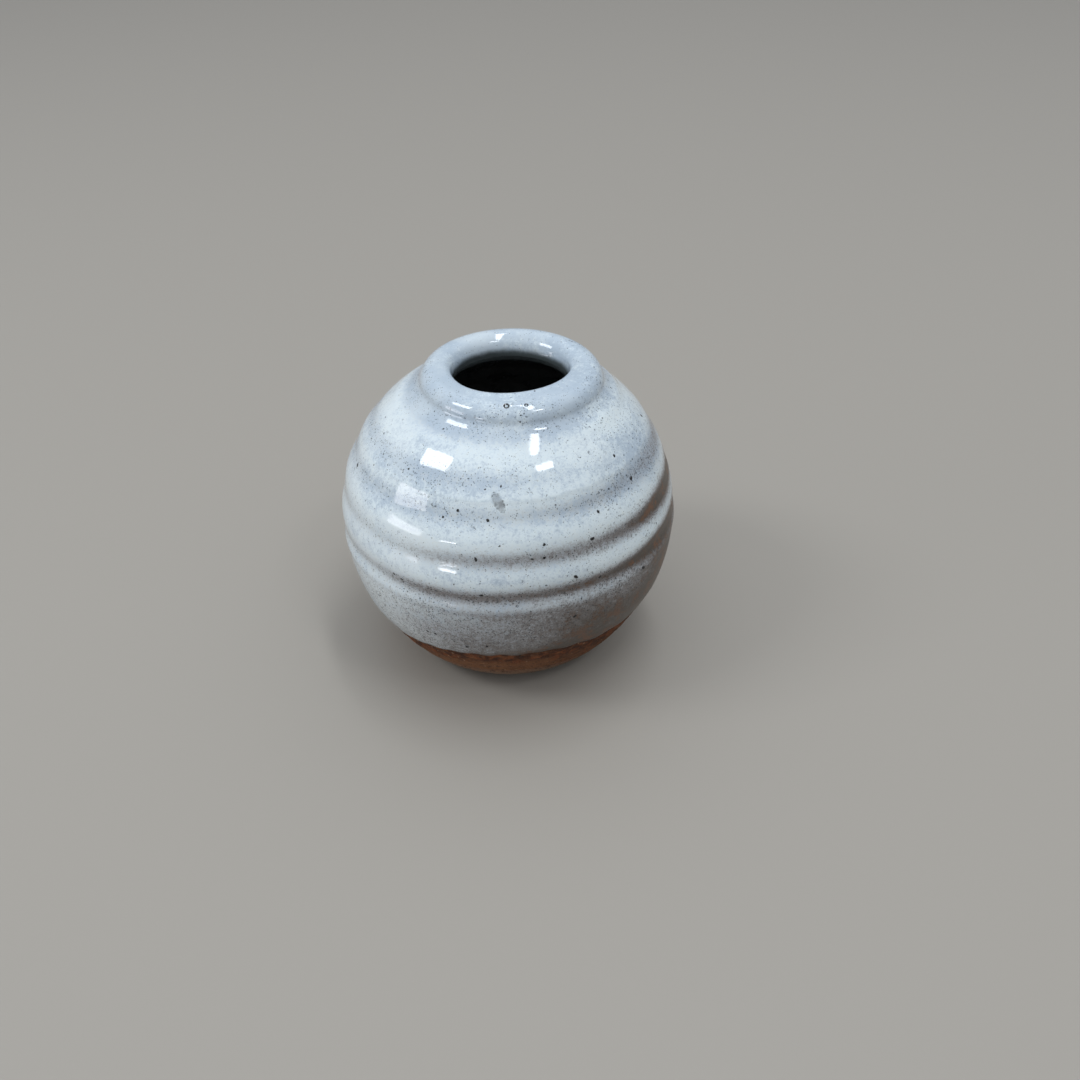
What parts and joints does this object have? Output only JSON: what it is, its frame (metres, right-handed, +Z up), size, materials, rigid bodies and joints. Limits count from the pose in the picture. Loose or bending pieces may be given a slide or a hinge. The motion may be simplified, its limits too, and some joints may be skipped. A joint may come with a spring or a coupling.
{
  "type": "bud vase",
  "caption": "Small round ceramic bud vase with a rolled lip, throwing grooves, pale speckled glaze and a bare clay foot.",
  "frame": {"origin": "middle of the foot, on the surface that the vase stands on", "axes": "+Z up along the axis of the throwing wheel, out of the mouth; -Y is the side first seen, +X to its right"},
  "size_m": [0.066, 0.066, 0.0603],
  "materials": {
    "clay": "matte",
    "glaze_outer": "gloss",
    "glaze_inner": "gloss",
    "iron": "satin"
  },
  "bodies": {
    "root": {"clay_body": "clay", "outer_glaze": "glaze_outer", "liner_glaze": "glaze_inner", "iron_specks": "iron"}
  },
  "joints": []
}
